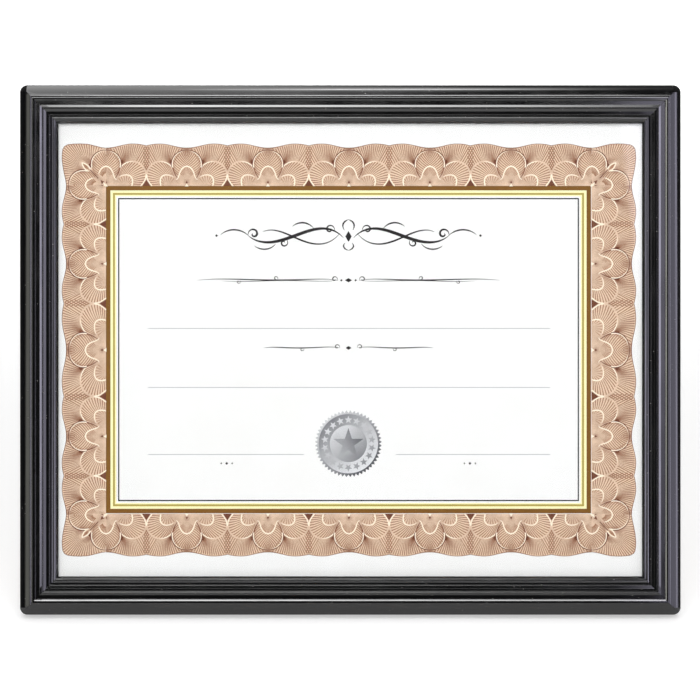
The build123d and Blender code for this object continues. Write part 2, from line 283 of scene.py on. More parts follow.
def new_material(name, **constants):
    """A material whose shader has these constants on its own sockets."""
    made = bpy.data.materials.new(name)
    made.use_nodes = True
    shader = made.node_tree.nodes["Principled BSDF"]
    for key, value in constants.items():
        shader.inputs[key.replace("_", " ")].default_value = value
    return made, made.node_tree, shader


def wire(tree, shader, **links):
    """Links patterns to the shader's sockets of these names."""
    for key, link in links.items():
        tree.links.new(link, shader.inputs[key.replace("_", " ")])


def dust_group():
    """Loose specks: small round spots where a coarse noise lets them lie."""
    inputs = [("Scale", "NodeSocketFloat", 900.0), ("Amount", "NodeSocketFloat", 0.2)]
    tree, given, out = new_group("dust_specks", inputs, ["Mask"])
    where = on_piece(tree)
    spots = add(tree, "ShaderNodeTexVoronoi", {"Vector": where, "Scale": given["Scale"]}).outputs
    near = ramp(tree, spots["Distance"], 0.06, 0.16, to_low=1.0, to_high=0.0)
    picked = add(tree, "ShaderNodeSeparateColor", {"Color": spots["Color"]}).outputs[0]
    patch = noise(tree, where, scale=35.0, detail=3.0)
    least = maths(tree, "SUBTRACT", 1.0, times(tree, given["Amount"], patch))
    tree.links.new(times(tree, near, maths(tree, "GREATER_THAN", picked, least)), out["Mask"])
    return tree


def scratch_group():
    """Fine rubbed lines that run one way, with their strength broken up in patches."""
    inputs = [("Stretch", "NodeSocketVector", (6.0, 900.0, 900.0)), ("Amount", "NodeSocketFloat", 0.5)]
    tree, given, out = new_group("rubbed_lines", inputs, ["Mask"])
    where = on_piece(tree)
    lines = noise(tree, stretched(tree, where, given["Stretch"]), scale=1.0, detail=2.0)
    patch = noise(tree, where, scale=22.0, detail=2.0)
    mask = times(tree, ramp(tree, lines, 0.60, 0.72), ramp(tree, patch, 0.42, 0.62))
    tree.links.new(times(tree, mask, given["Amount"]), out["Mask"])
    return tree


dust = dust_group()
rubbed = scratch_group()

styrene_black = colour(9, 9, 10)
styrene_rubbed = colour(34, 34, 37)
dust_grey = colour(150, 147, 142)
rub_cover, speck_cover = 0.35, 0.55
rub_rough, speck_rough, speck_rise = 0.10, 0.5, 0.3


def gloss_styrene(name, stretch):
    """Black moulded styrene: a bright skin with faint flow marks, rubs along the rail, and dust."""
    made, tree, shader = new_material(name, IOR=1.59)
    where = on_piece(tree)
    rubs = placed(tree, rubbed, Stretch=stretch, Amount=0.3)["Mask"]
    specks = placed(tree, dust, Scale=700.0, Amount=0.18)["Mask"]
    skin = mixed(tree, times(tree, rubs, rub_cover), styrene_black, styrene_rubbed)
    skin = mixed(tree, times(tree, specks, speck_cover), skin, dust_grey)
    flow = noise(tree, where, scale=60.0, detail=4.0)
    rough = ramp(tree, flow, 0.3, 0.7, to_low=0.07, to_high=0.13)
    rough = plus(tree, rough, times(tree, rubs, rub_rough))
    rough = plus(tree, rough, times(tree, specks, speck_rough), clamp=True)
    height = plus(tree, noise(tree, where, scale=90.0, detail=2.0), times(tree, specks, speck_rise))
    normal = bumped(tree, height, strength=0.12, depth=0.06 * mm)
    wire(tree, shader, Base_Color=skin, Roughness=rough, Normal=normal)
    return made


level_styrene = gloss_styrene("gloss_styrene_level", (14.0, 1400.0, 1400.0))
upright_styrene = gloss_styrene("gloss_styrene_upright", (1400.0, 14.0, 14.0))
rails = [
    ("bottom_rail", half_w, half_h, 0, level_styrene),
    ("right_rail", half_h, half_w, radians(90), upright_styrene),
    ("top_rail", half_w, half_h, radians(180), level_styrene),
    ("left_rail", half_h, half_w, radians(-90), upright_styrene),
]
for node, half, outer, turn, material in rails:
    points, faces = rail_mesh(half, outer, turn)
    rail = piece(f"{node}_moulding", points, faces, material, smooth=True)
    shaped = bmesh.new()
    shaped.from_mesh(rail.data)
    bmesh.ops.recalc_face_normals(shaped, faces=shaped.faces)
    for edge in shaped.edges:
        edge.smooth = edge.calc_face_angle(0) < sharp_turn
    shaped.to_mesh(rail.data)
    shaped.free()
    rail.modifiers.new("true_flats", "WEIGHTED_NORMAL").keep_sharp = True
    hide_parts(node)


# The glazing. A clear styrene sheet, cut to the rabbet and held against the lip by the stack
# behind it. Lamps and daylight pass through it to the sheet; a few rubs and specks lie on it.
def clear_styrene():
    """Clear sheet that bends what is seen through it, and lets lamps through unbent."""
    clear = colour(253, 254, 254)
    made, tree, shader = new_material("clear_styrene", Base_Color=clear, IOR=1.49, Transmission_Weight=1.0)
    rubs = placed(tree, rubbed, Stretch=(30.0, 900.0, 1500.0), Amount=1.0)["Mask"]
    specks = placed(tree, dust, Scale=420.0, Amount=0.10)["Mask"]
    rough = plus(tree, times(tree, rubs, 0.02), times(tree, specks, 0.05))
    wire(tree, shader, Roughness=plus(tree, rough, 0.01))
    path = add(tree, "ShaderNodeLightPath").outputs
    lit = maths(tree, "MAXIMUM", path["Is Shadow Ray"], path["Is Diffuse Ray"])
    open_way = add(tree, "ShaderNodeBsdfTransparent")
    both = add(tree, "ShaderNodeMixShader", {0: lit, 1: shader.outputs[0], 2: open_way.outputs[0]})
    tree.links.new(both.outputs[0], tree.nodes["Material Output"].inputs["Surface"])
    return made


def dress(node, material):
    """A CAD node keeps its shape and gets a finish on all its slots."""
    for holder in frame["nodes"][node].material_slots:
        holder.material = material


dress("clear_face", clear_styrene())


# The certificate. A letter-size sheet of smooth white card, held flat behind the glazing. All its
# print is put on by plates, one for each ink; a line lies a few hundredths proud, as ink does.
sheet_low, sheet_high = upright_box("certificate")
sheet_mid_z = (sheet_low.z + sheet_high.z) / 2
print_left, print_up, print_scale = 0.84, 0.19, 0.9973
card_white = colour(252, 252, 252)
card_shade = colour(243, 242, 239)


def fibre_group():
    """Pressed fibres: fine crossed hairs over a soft mottle."""
    inputs = [("Fineness", "NodeSocketFloat", 500.0), ("Mottle", "NodeSocketFloat", 40.0)]
    tree, given, out = new_group("pressed_fibres", inputs, ["Hairs", "Clouds"])
    where = on_piece(tree)
    lying = noise(tree, stretched(tree, where, (1.0, 3.0, 5.0)), given["Fineness"], detail=3.0)
    upright = noise(tree, stretched(tree, where, (5.0, 3.0, 1.0)), given["Fineness"], detail=3.0)
    clouds = noise(tree, where, given["Mottle"], detail=4.0)
    tree.links.new(ramp(tree, maths(tree, "MAXIMUM", lying, upright), 0.45, 0.75), out["Hairs"])
    tree.links.new(ramp(tree, clouds, 0.3, 0.7), out["Clouds"])
    return tree


fibres = fibre_group()


def about(tree, pattern, middle, swing):
    """A value that a pattern moves about its middle."""
    return ramp(tree, pattern, 0.0, 1.0, middle - swing, middle + swing)


def printed(name, pale, full, rough=0.55):
    """An ink on the card: its tone follows the mesh's own shade and breaks up over the fibres."""
    made, tree, shader = new_material(name, IOR=1.45, Specular_IOR_Level=0.2)
    grain = placed(tree, fibres, Fineness=700.0, Mottle=120.0)
    tone = add(tree, "ShaderNodeAttribute", attribute_name="shade").outputs["Fac"]
    tone = plus(tree, tone, about(tree, grain["Hairs"], 0.0, 0.10))
    tone = plus(tree, tone, about(tree, grain["Clouds"], 0.0, 0.06), clamp=True)
    gloss = about(tree, grain["Hairs"], rough, 0.08)
    wire(tree, shader, Base_Color=mixed(tree, tone, pale, full), Roughness=gloss)
    return made


def card_material():
    """Smooth white card with a faint tooth."""
    made, tree, shader = new_material("white_card", IOR=1.45, Specular_IOR_Level=0.25)
    grain = placed(tree, fibres, Fineness=600.0, Mottle=30.0)
    tone = plus(tree, times(tree, grain["Hairs"], 0.3), times(tree, grain["Clouds"], 0.3))
    face = mixed(tree, tone, card_white, card_shade)
    rough = ramp(tree, grain["Hairs"], 0.0, 1.0, to_low=0.5, to_high=0.62)
    normal = bumped(tree, grain["Hairs"], strength=0.15, depth=0.01 * mm)
    wire(tree, shader, Base_Color=face, Roughness=rough, Normal=normal)
    return made


dress("certificate", card_material())


def shaded(made, shades):
    """Stores a shade with each point of a piece, for its finish to read: an ink's depth, or the seal's
    painted shading.
    """
    made.data.attributes.new("shade", "FLOAT", "POINT").data.foreach_set("value", shades)
    return made


class Print:
    """One printing plate: ribbons and patches, each point with its shade, a set height off the card."""

    def __init__(self, height):
        self.y = sheet_low.y - height
        self.points, self.faces, self.shades = [], [], []

    def spot(self, place, shade):
        """A point on the plate, in millimetres from the card's centre."""
        x, z = place
        x, z = (x * print_scale - print_left) * mm, (z * print_scale + print_up) * mm
        self.points.append((x, self.y, sheet_mid_z + z))
        self.shades.append(shade)
        return len(self.points) - 1

    def patch(self, outline, shade=1.0):
        """A filled outline."""
        self.faces.append([self.spot(place, shade) for place in outline])

    def ribbon(self, line, width, shade=1.0):
        """A line of the given width, which may be a function of the way along, 0 to 1."""
        sides = []
        last = len(line) - 1
        for k, here in enumerate(line):
            run = Vector(line[min(k + 1, last)]) - Vector(line[max(k - 1, 0)])
            if run.length == 0:
                continue
            half = (width(k / max(last, 1)) if callable(width) else width) / 2
            off = Vector((-run.y, run.x)).normalized() * half
            sides.append([self.spot(Vector(here) + off * s, shade) for s in (1, -1)])
        for (a, b), (c, d) in zip(sides, sides[1:]):
            self.faces.append((a, b, d, c))

    def finish(self, name, material):
        """The plate's mesh, riding on the frame with its own ink's finish."""
        return shaded(piece(name, self.points, self.faces, material), self.shades)


tint_plate = Print(0.02 * mm)
line_plate = Print(0.045 * mm)
light_plate = Print(0.07 * mm)


def bezier(*controls, count=10):
    """Points along a curve drawn by its control points."""
    line = []
    for i in range(count + 1):
        row = [Vector(c) for c in controls]
        while len(row) > 1:
            row = [a.lerp(b, i / count) for a, b in zip(row, row[1:])]
        line.append(row[0])
    return line


def along(line, share):
    """The point at a share of a line's length."""
    lengths = [(b - a).length for a, b in zip(line, line[1:])]
    left = share * sum(lengths)
    for start, end, length in zip(line, line[1:], lengths):
        if left <= length:
            return start.lerp(end, left / length)
        left -= length
    return line[-1]


def taper(width, start, gain, power=1.0):
    """A width that begins at a share of the full one and gains on it along the way."""
    return lambda way: width * (start + gain * way ** power)


# The border. Security-print ornament, printed in a salmon tint with red-brown lines and cream
# lights: petals with fans behind them. Half a repeat runs from a petal's axis to the dip between
# two petals. In millimetres, s runs along the side from that axis and t out from the gold band.
repeat_half = 19.1
border_shift = Vector((0.2, -0.2))
petal_axes_x, petal_dips_x = (0.0, 38.3, 76.7, 114.9), (19.0, 57.5, 95.8)
petal_axes_z, petal_dips_z = (0.0, 40.8, 78.0), (22.0, 59.5)
band_half = Vector((114.7, 77.4))
side_stretch = 1.045
edge_base, edge_swell, crest_s, notch_fall = 18.05, 2.0, 12.7, 0.85

petal_side = bezier((0, 16.8), (4.2, 16.8), (6.85, 14.1), (6.85, 10.5)) \
    + bezier((6.85, 10.5), (6.85, 7.8), (5.6, 5.8), (4.5, 4.0))[1:]
petal_arch = bezier((0, 9.5), (1.9, 9.5), (2.9, 7.6), (3.45, 6.0)) \
    + bezier((3.45, 6.0), (3.8, 4.8), (4.2, 3.2), (5.1, 3.3), count=6)[1:]
fan_centre, fan_r = Vector((12.3, 5.1)), 6.6
fan_rim = [fan_centre + fan_r * Vector((cos(radians(a)), sin(radians(a)))) for a in range(139, 0, -6)] \
    + bezier((18.9, 5.1), (18.8, 3.2), (17.9, 1.8), (16.4, 0.2), count=6)
fan_arch = bezier((5.2, 3.7), (6.4, 4.8), (7.8, 5.45), (9.7, 5.45)) \
    + bezier((9.7, 5.45), (11.9, 5.45), (13.2, 3.6), (12.2, 0.3))[1:]

petal_axis_top = Vector((0, 14.6))
petal_root, petal_flank = petal_arch[12::-1] + [petal_axis_top], petal_side[14::-1]
petal_shoulder, petal_heel, petal_inner = petal_side[2:13], petal_side[12:], petal_arch[:11]
petal_middle, shadow_gap = Vector((0, 8)), 0.42
petal_shadow = [p + (p - petal_middle).normalized() * shadow_gap for p in petal_side[:13]]
petal_seed, fan_seed = Vector((0, 3.4)), Vector((9.2, -0.4))
fan_crown, fan_heel, fan_front = fan_rim[:10], fan_rim[22:], fan_arch[3:]
dark_wedges = (
    ((7.1, 10.2), (8.3, 11.2), (7.9, 12.6), (7.1, 12.4)), ((0, 1.4), (0.5, 1.7), (0, 2.7)),
    ((repeat_half - 2.0, 0), (repeat_half, 3.2), (repeat_half, 0)),
)
light_wedge = ((0, 0), (0.85, 0), (0, 1.4))

petal_lines, arch_lines, fan_lines, foot_lines, dip_lines, edge_lines = 12, 6, 16, 8, 7, 15
petal_bend, fan_bend = Vector((0.4, -0.4)), Vector((-0.4, 0.3))
ray_shares = (0.45, 0.62, 0.78, 0.92)
ground_from, ground_step, ground_sweep, dip_slope, slope_sweep = 22, 8.5, 64, 60.0, 62
ground_points, point_step, ground_gap, edge_gap, cross_over = 24, 0.5, 0.5, 0.1, 1.5
hatch_w, rim_w, arch_w, shadow_w, edge_w = 0.46, 0.56, 0.58, 0.50, 0.30
edge_steps, ground_steps, depth_steps = 24, 20, 20
base_tone = 0.10
repeat_spots = (
    (7.7, 11.6, 1.3, 1.0), (8.7, 13.6, 2.0, 0.45), (5.7, 6.2, 1.3, 0.45), (0.0, 1.9, 1.2, 0.6),
    (0.0, 17.5, 2.6, 0.65), (19.1, 8.4, 1.3, 0.25), (19.1, 0.8, 1.6, 0.8), (0.9, 5.2, 2.3, 0.25),
    (8.5, 1.5, 3.4, 0.25), (10.0, 15.4, 2.8, 0.22), (4.5, 3.0, 1.6, 0.25),
)


def edge_t(s):
    """How far out the wavy edge lies."""
    if s > repeat_half:
        s = 2 * repeat_half - s
    if s <= crest_s:
        return edge_base + edge_swell / 2 * (1 - cos(pi * s / crest_s))
    return edge_base + edge_swell - notch_fall * ((s - crest_s) / (repeat_half - crest_s)) ** 2


def bowed_strokes(roots, tips, count, bow, first, near, far):
    """Strokes from one line to another, bent aside, each from one share of the way there to another."""
    strokes = []
    for k in range(first, count):
        share = (k + 0.5) / count
        start, end = along(roots, share), along(tips, share)
        bend = start.lerp(end, 0.5) + bow
        strokes.append(bezier(start.lerp(end, near), bend, start.lerp(end, far), count=6))
    return strokes


def short_rays(arch, seed, count):
    """Short strokes that hug the inside of an arch and point at its seed."""
    ends = [along(arch, (k + 0.5) / count) for k in range(count)]
    return [[seed.lerp(end, share) for share in ray_shares] for end in ends]


def ground_strokes():
    """The lines behind petal and fan: slanting ones that cross at the dip, then teeth up to the edge."""
    strokes = []
    for k in range(dip_lines + edge_lines):
        late = max(0, k - dip_lines + 1) / edge_lines
        turn = radians(ground_from + ground_step * min(k, dip_lines - 1) + ground_sweep * late)
        slope = radians(dip_slope + slope_sweep * late)
        start = fan_centre + (fan_r + ground_gap) * Vector((cos(turn), sin(turn)))
        way = Vector((cos(slope), sin(slope)))
        line = [start + way * step * point_step for step in range(ground_points)]
        strokes.append([p for p in line if p.y < edge_t(p.x) - edge_gap and p.x < repeat_half + cross_over])
    return strokes


def tint_depth(place, spots):
    """The tint's depth at a place: the sum of soft spots, each with its centre, reach and depth."""
    x, z = place
    dark = sum(depth * exp(-((x - a) ** 2 + (z - b) ** 2) / reach ** 2) for a, b, reach, depth in spots)
    return base_tone + min(dark, 1.0)


def crown_width(way):
    """The width of the light line over the fan's crown: it swells soon and thins out slowly."""
    return rim_w * min(1, 0.4 + 4 * way) * (1 - 0.8 * way ** 2)


# Feathered strokes of half a petal, the rays of the fan behind it and those inside the arches; then
# all the hatching, with the width's share at the start, its gain along the way and the shade.
petal_strokes = bowed_strokes(petal_root, petal_flank, petal_lines, petal_bend, 0, 0.0, 0.95)
fan_strokes = bowed_strokes(fan_arch, fan_rim, fan_lines, fan_bend, 1, 0.06, 0.96)
petal_rays = short_rays(petal_inner, petal_seed, arch_lines)
foot_rays = short_rays(fan_arch, fan_seed, foot_lines)
ground = ground_strokes()
hatching = [
    (petal_strokes, 0.7, 0.35, 0.5),
    (fan_strokes, 0.5, 0.55, 0.5),
    (petal_rays + foot_rays, 0.15, 0.8, 0.45),
    (ground[:dip_lines], 0.85, 0.15, 0.55),
    (ground[dip_lines:], 0.3, 0.7, 0.55),
]


def half_repeat(put, scale):
    """Prints half a repeat, drawn out by a scale; put turns (s, t) into the card's x and z."""
    def sent(line):
        return [put(Vector((p.x * scale, p.y))) for p in map(Vector, line)]

    grid = []
    for i in range(ground_steps + 1):
        s = repeat_half * i / ground_steps
        for j in range(depth_steps + 1):
            t = edge_t(s) * j / depth_steps
            grid.append(tint_plate.spot(put(Vector((s * scale, t))), tint_depth((s, t), repeat_spots)))
    row = depth_steps + 1
    for i in range(ground_steps):
        for j in range(depth_steps):
            a = i * row + j
            tint_plate.faces.append([grid[a], grid[a + row], grid[a + row + 1], grid[a + 1]])

    for strokes, start, gain, shade in hatching:
        for stroke in strokes:
            line_plate.ribbon(sent(stroke), taper(hatch_w, start, gain), shade)
    steps = [repeat_half * k / edge_steps for k in range(edge_steps + 1)]
    edge = sent((s, edge_t(s)) for s in steps)
    line_plate.ribbon(edge, lambda way: edge_w * (1.5 - 0.5 * min(1, way / 0.3)), 0.8)
    line_plate.ribbon(sent(petal_shadow), taper(shadow_w, 0.6, 0.7))
    line_plate.ribbon(sent(petal_heel), taper(shadow_w, 1.1, -0.5), 0.9)
    for wedge in dark_wedges:
        line_plate.patch(sent(wedge))

    light_plate.ribbon(sent(petal_shoulder), taper(rim_w, 0.25, 0.75, 0.7))
    light_plate.ribbon(sent(petal_arch), taper(arch_w, 1, -0.55, 3))
    light_plate.ribbon(sent(fan_front), taper(arch_w, 0.25, 0.85, 0.6))
    light_plate.ribbon(sent(fan_crown), crown_width)
    light_plate.ribbon(sent(fan_heel), lambda way: rim_w * min(1, 0.4 + 3 * way))
    light_plate.patch(sent(light_wedge))


def on_side(start, forward, mirror, side, level):
    """Gives what turns (s, t) of a half repeat that starts at start into the card's x and z."""
    def put(place):
        run = mirror * (start + forward * place.x)
        out = side * (place.y + band_half.y if level else place.y * side_stretch + band_half.x)
        return Vector((run, out) if level else (out, run)) + border_shift
    return put


for axes, dips, level in ((petal_axes_x, petal_dips_x, True), (petal_axes_z, petal_dips_z, False)):
    for near, dip, far in zip(axes, dips, axes[1:]):
        for start, forward, width in ((near, 1, dip - near), (far, -1, far - dip)):
            for mirror in (1, -1):
                for side in (1, -1):
                    half_repeat(on_side(start, forward, mirror, side, level), width / repeat_half)


# The border's corners: the last petal of each side, the plain ground that fans out to the corner
# from one focus, and a small leaf along the diagonal.
corner_focus = Vector((122.4, 84.3))
corner_edge = [Vector(p) for p in (
    (115.0, 95.45), (117.5, 95.8), (120.5, 96.6), (123.6, 97.3), (127.2, 97.5), (130.3, 97.4),
    (132.9, 97.1), (134.5, 96.3), (135.3, 95.0), (135.6, 92.8), (135.65, 90.4), (135.3, 87.0),
    (134.7, 83.8), (134.0, 80.6), (133.6, 78.0),
)]
corner_outline = [band_half + Vector((0, 9)), *corner_edge, band_half + Vector((9, 0)), band_half]
corner_rays, corner_rings, first_ring = 31, 7, 0.01
corner_ray_shares = (0.4, 0.5, 0.6, 0.7, 0.8, 0.9, 1.0)
corner_seam, seam_w = [(118.6, 81.2), (120.2, 83.0), (121.8, 84.6), (122.6, 85.4)], 0.45
corner_spots = (
    (122.6, 88.6, 1.6, 0.9), (126.0, 85.0, 1.6, 0.9), (128.4, 84.4, 1.5, 0.5), (121.6, 90.6, 1.5, 0.4),
    (120.5, 83.2, 2.0, 0.45), (127.6, 89.6, 3.0, 0.18), (117.0, 79.6, 2.2, 0.35),
)
leaf_tip, leaf_foot, leaf_w = Vector((126.3, 88.6)), Vector((122.7, 85.0)), 0.5
leaf_across = Vector((1, -1)).normalized() * 1.25
leaf_middle = leaf_foot.lerp(leaf_tip, 0.45)
foot_marks = (
    (light_plate, ((0.1, 0.9), (1.6, 2.0), (0.9, 0.1))), (line_plate, ((1.0, 2.2), (2.8, 3.0), (2.2, 1.0))),
)
diagonal_slack = 0.6
petal_belly, petal_belly_out, petal_reach = 7.4, 10.2, 7.0
petal_out, petal_neck, petal_neck_out = 17.2, 6.5, 10


def over_diagonal(place, level):
    """True where a corner petal shows: each side's petal keeps to its own side of the diagonal."""
    out = Vector(place) - band_half
    return (out.y - out.x if level else out.x - out.y) > -diagonal_slack


def clipped(line, keep):
    """The longest run of a line's points that keep says stay."""
    runs, run = [], []
    for place in line:
        if keep(place):
            run.append(place)
        else:
            runs.append(run)
            run = []
    return max(runs + [run], key=len)


def inside_petal(place):
    """True inside either corner petal."""
    across = place - Vector((petal_axes_x[-1], band_half.y))
    upward = place - Vector((band_half.x, petal_axes_z[-1]))
    for run, out in ((across.x, across.y), (upward.y, upward.x)):
        belly = petal_belly * sqrt(max(0.0, 1 - ((out - petal_belly_out) / petal_reach) ** 2))
        if out < petal_out and run < belly or out < petal_neck_out and run < petal_neck:
            return True
    return False


def corner_petal(sent, level):
    """The outer half of a corner petal, cut at the diagonal."""
    def put(place):
        if level:
            return Vector((petal_axes_x[-1] + place.x, band_half.y + place.y))
        return Vector((band_half.x + place.y * side_stretch, petal_axes_z[-1] + place.x))

    def cut(line):
        return sent(clipped([put(p) for p in line], lambda place: over_diagonal(place, level)))

    for stroke in petal_strokes + petal_rays:
        stroke = cut(stroke)
        if len(stroke) > 2:
            line_plate.ribbon(stroke, hatch_w * 0.9, 0.5)
    line_plate.ribbon(cut(petal_shadow), taper(shadow_w, 0.6, 0.7))
    light_plate.ribbon(cut(petal_shoulder), taper(rim_w, 0.25, 0.75, 0.7))
    light_plate.ribbon(cut(petal_inner), taper(arch_w, 1, -0.5, 2))


def border_corner(side_x, side_z):
    """Prints a corner; it is drawn as the top right one and turned into its own place."""
    def sent(line):
        return [(side_x * p.x + border_shift.x, side_z * p.y + border_shift.y) for p in map(Vector, line)]

    rings = []
    for ring in range(corner_rings + 1):
        ground = [band_half.lerp(p, max(ring / corner_rings, first_ring)) for p in corner_outline]
        shades = [tint_depth(p, corner_spots) for p in ground]
        rings.append([tint_plate.spot(p, shade) for p, shade in zip(sent(ground), shades)])
    for inner, outer in zip(rings, rings[1:]):
        for k in range(len(corner_outline) - 2):
            tint_plate.faces.append([inner[k], outer[k], outer[k + 1], inner[k + 1]])
    for k in range(corner_rays):
        end = along(corner_edge, (k + 0.5) / corner_rays)
        ray = [corner_focus.lerp(end, share) for share in corner_ray_shares]
        ray = clipped(ray, lambda place: not inside_petal(place))
        if len(ray) > 1:
            line_plate.ribbon(sent(ray), taper(hatch_w, 0.25, 0.8), 0.5)
    line_plate.ribbon(sent(corner_edge), edge_w, 0.8)
    corner_petal(sent, True)
    corner_petal(sent, False)
    line_plate.ribbon(sent(corner_seam), seam_w, 0.95)
    for across in (leaf_across, -leaf_across):
        vein = bezier(leaf_foot + across * 0.55, leaf_middle + across * 1.4, leaf_tip, count=8)
        light_plate.ribbon(sent(vein), leaf_w)
        wedge = (leaf_foot + across * 0.7, leaf_middle + across * 1.2, leaf_middle + across * 2.3)
        line_plate.patch(sent(wedge))
    heart = (leaf_foot, leaf_middle + leaf_across * 0.5, leaf_tip, leaf_middle - leaf_across * 0.5)
    line_plate.patch(sent(heart), 0.45)
    for plate, mark in foot_marks:
        plate.patch(sent(band_half + Vector(p) for p in mark))


for side_x in (-1, 1):
    for side_z in (-1, 1):
        border_corner(side_x, side_z)

tint = printed("salmon_tint", colour(236, 207, 180), colour(134, 76, 46))
lines = printed("red_brown_ink", colour(200, 152, 118), colour(108, 56, 34))
lights = printed("cream_line", colour(255, 246, 228), colour(255, 243, 222))
tint_plate.finish("border_tint", tint)
line_plate.finish("border_line_work", lines)
light_plate.finish("border_light_lines", lights)


# The rules. Printed inside the border are a bronze band, two pale gold lines with an olive one
# between them, and a fine black line; the writing lines across the middle are thin and grey.
rules = [
    ("bronze_band", 0.0, 2.1, colour(134, 90, 22), colour(118, 76, 14)),
    ("pale_gold_line", 2.1, 1.2, colour(255, 251, 200), colour(255, 248, 184)),
    ("olive_gold_line", 3.3, 0.95, colour(190, 172, 84), colour(176, 158, 70)),
    ("inner_pale_line", 4.25, 0.65, colour(255, 249, 200), colour(255, 246, 188)),
    ("fine_black_line", 5.72, 0.6, colour(46, 46, 50), colour(36, 36, 40)),
]
rule_height, rule_steps = 0.05 * mm, 24
writing_lines = [
    (-94.8, 95.3, 10.0), (-94.8, 95.3, -17.9), (-94.8, -21.1, -49.6), (22.4, 95.3, -49.6),
]
writing_w, writing_steps = 0.32, 20


def closed_rule(plate, half, width, shade):
    """A rectangular line of the given width, its outer half-size given, mitred at the corners."""
    inner = half - Vector((width, width))
    corners = [Vector(p) for p in ((-1, -1), (1, -1), (1, 1), (-1, 1))]
    for a, b in zip(corners, corners[1:] + corners[:1]):
        before = None
        for k in range(rule_steps + 1):
            far = a.lerp(b, k / rule_steps)
            pair = [plate.spot((far.x * h.x, far.y * h.y), shade) for h in (half, inner)]
            if before:
                plate.faces.append([before[0], pair[0], pair[1], before[1]])
            before = pair


for name, inset, width, pale, full in rules:
    plate = Print(rule_height)
    closed_rule(plate, band_half - Vector((inset, inset)), width, 0.5)
    plate.finish(name, printed(f"{name}_ink", pale, full, rough=0.42))

grey_plate = Print(rule_height)
for left, right, z in writing_lines:
    line = [(left + (right - left) * k / writing_steps, z) for k in range(writing_steps + 1)]
    grey_plate.ribbon(line, writing_w, 0.5)
grey_plate.finish("writing_lines", printed("grey_ink", colour(196, 196, 200), colour(170, 170, 176)))


# The ornaments. Where a certificate carries its words, this one has letterless pen scrolls: a
# large one for the heading, slim dividers for the lines under it, and dots under the short rules.
black_plate = Print(rule_height)
scroll_weight, scroll_swell, black_shade = 1.35, 0.8, 0.8
bold_end, fine_end = 0.16, 0.08


def pen(line, widest, least):
    """A pen stroke that swells in its middle."""
    swell = widest * scroll_weight - least
    black_plate.ribbon(line, lambda way: least + swell * sin(pi * way) ** scroll_swell, black_shade)


def curl(centre, start_r, end_r, start_deg, turn_deg, count=26):
    """A spiral from a larger to a smaller radius."""
    line = []
    for k in range(count + 1):
        way = k / count
        radius = start_r + (end_r - start_r) * way
        angle = radians(start_deg + turn_deg * way)
        line.append(Vector(centre) + radius * Vector((cos(angle), sin(angle))))
    return line


def lozenge(x, z, wide, high):
    """A small diamond."""
    black_plate.patch([(x - wide, z), (x, z - high), (x + wide, z), (x, z + high)], black_shade)


# Each scroll: its height on the card, the width of its strokes' ends, the strokes of its right half
# with their widest, and its diamonds: across, up, half as wide and half as high.
scrolls = [
    (53.5, bold_end, (
        (bezier((2.4, -0.6), (9, 6.5), (17, 5.5), (25, 0.5), (33, -5), (42, -4.5), (47.5, 0.5),
                count=44), 1.15),
        (bezier((47.5, 0.5), (50.5, 3.6), (56.5, 4.4), (60.5, 0.8), count=18), 0.55),
        (curl((44.9, 1.2), 2.7, 0.5, -15, 400), 0.75),
        (bezier((4.0, 1.6), (10, -6.0), (18, -5.8), (24.5, -1.2), (30, 3.0), (36, 4.4), (40.5, 2.2),
                count=36), 0.60),
        (curl((8.8, 3.4), 2.3, 0.4, 200, -430), 0.55),
        (curl((30.6, -3.0), 2.0, 0.4, 140, 380), 0.55),
        (bezier((16.5, 3.9), (19, 7.0), (23.5, 7.4), (26.5, 4.8), count=14), 0.55),
        (bezier((34.5, -3.6), (37, -6.6), (41.5, -6.8), (44.5, -4.4), count=14), 0.50),
        (bezier((2.0, 3.0), (3.6, 5.6), (2.2, 7.2), (0, 8.0), count=12), 0.55),
        (bezier((1.6, -3.0), (3.2, -4.6), (2.0, -6.0), (0, -6.6), count=12), 0.50),
    ), ((0, 0, 1.5, 2.6), (-62.4, 0.4, 0.7, 0.7), (62.4, 0.4, 0.7, 0.7))),
    (32.8, fine_end, (
        (bezier((5.0, 0), (16, 1.9), (30, -1.6), (46, 0.3), (58, 1.4), (71.5, 0), count=40), 0.42),
        (bezier((5.0, 0), (15, -1.7), (28, 1.4), (40, -0.4), (50, -1.2), (60, -0.3), count=34), 0.26),
        (curl((6.6, 0.5), 1.5, 0.3, 200, -380), 0.38),
        (curl((34.4, 0.9), 1.1, 0.25, 220, -360), 0.30),
        (curl((52.0, -0.7), 1.0, 0.25, 140, 360), 0.28),
    ), ((0, 0, 1.7, 1.0), (-3.4, 0, 0.6, 0.6), (3.4, 0, 0.6, 0.6))),
    (0.8, fine_end, (
        (bezier((4.0, 0), (12, 1.6), (20, -1.5), (30, 0.2), (35, 0.8), (40.0, 0), count=30), 0.40),
        (curl((5.4, 0.5), 1.3, 0.3, 200, -380), 0.34),
        (curl((22.0, -0.6), 1.0, 0.25, 140, 360), 0.28),
    ), ((0, 0, 1.4, 0.9),)),
    (-53.8, fine_end, (), [
        (middle + step, 0, size, size)
        for middle in (-57.6, 57.4) for step, size in ((-2.6, 0.45), (0, 0.7), (2.6, 0.45))
    ]),
]
for up, end_w, strokes, diamonds in scrolls:
    for stroke, widest in strokes:
        for side in (1, -1):
            pen([Vector((side * p.x, up + p.y)) for p in stroke], widest, end_w)
    for x, z, wide, high in diamonds:
        lozenge(x, up + z, wide, high)

black_plate.finish("pen_scrolls", printed("black_ink", colour(58, 54, 55), colour(30, 27, 28)))
